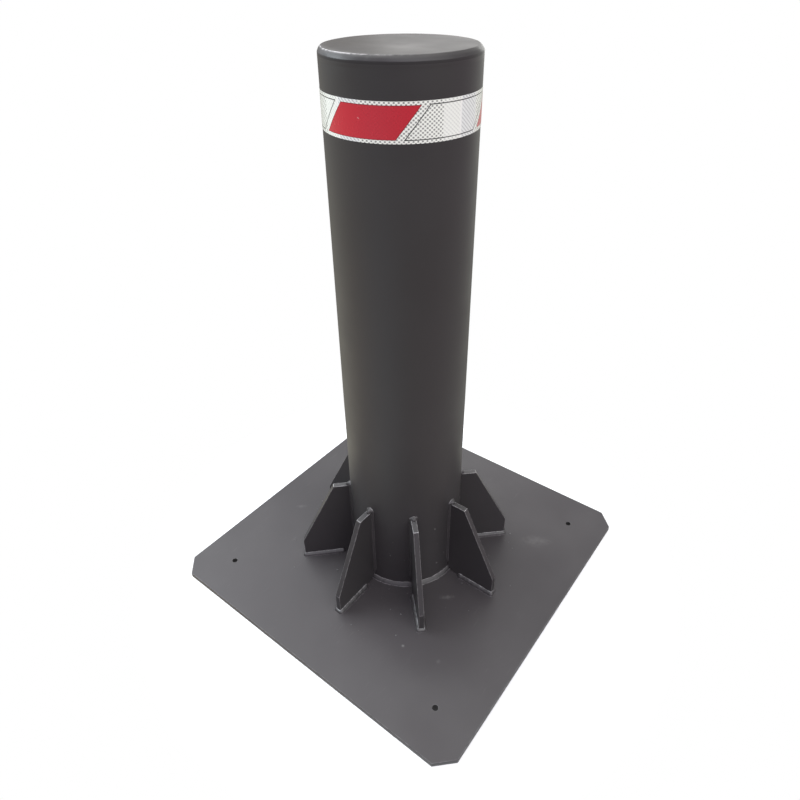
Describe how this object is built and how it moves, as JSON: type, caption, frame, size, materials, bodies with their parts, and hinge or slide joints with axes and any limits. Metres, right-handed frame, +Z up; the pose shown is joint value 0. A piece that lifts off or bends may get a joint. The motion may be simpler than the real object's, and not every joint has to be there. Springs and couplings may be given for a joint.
{
  "type": "fixed bollard",
  "caption": "Fixed steel bollard: a capped round tube with gussets welded to a square base plate with corner anchor holes, and a red and white reflective band near the top.",
  "frame": {"origin": "centre of the base plate's underside", "axes": "+Z up along the tube; X and Y along the base plate's sides"},
  "size_m": [0.665, 0.665, 0.97],
  "materials": {
    "painted_steel": "satin anthracite coating with faint orange peel, light scuffs and dust on the plate",
    "painted_weld": "the same coating over rippled weld beads",
    "reflective_film": "white prismatic film with slanted red blocks and thin black keylines"
  },
  "bodies": {
    "root": {"base_plate": "painted_steel", "bollard_tube": "painted_steel", "cap_plate": "painted_steel", "gusset_1": "painted_steel", "gusset_2": "painted_steel", "gusset_3": "painted_steel", "gusset_4": "painted_steel", "gusset_5": "painted_steel", "gusset_6": "painted_steel", "gusset_7": "painted_steel", "gusset_8": "painted_steel", "cap_seam_weld": "painted_weld", "tube_foot_weld": "painted_weld", "gusset_foot_weld_1": "painted_weld", "gusset_foot_weld_2": "painted_weld", "gusset_foot_weld_3": "painted_weld", "gusset_foot_weld_4": "painted_weld", "gusset_foot_weld_5": "painted_weld", "gusset_foot_weld_6": "painted_weld", "gusset_foot_weld_7": "painted_weld", "gusset_foot_weld_8": "painted_weld", "gusset_side_weld_1": "painted_weld", "gusset_side_weld_2": "painted_weld", "gusset_side_weld_3": "painted_weld", "gusset_side_weld_4": "painted_weld", "gusset_side_weld_5": "painted_weld", "gusset_side_weld_6": "painted_weld", "gusset_side_weld_7": "painted_weld", "gusset_side_weld_8": "painted_weld", "reflective_tape": "reflective_film"}
  },
  "joints": []
}
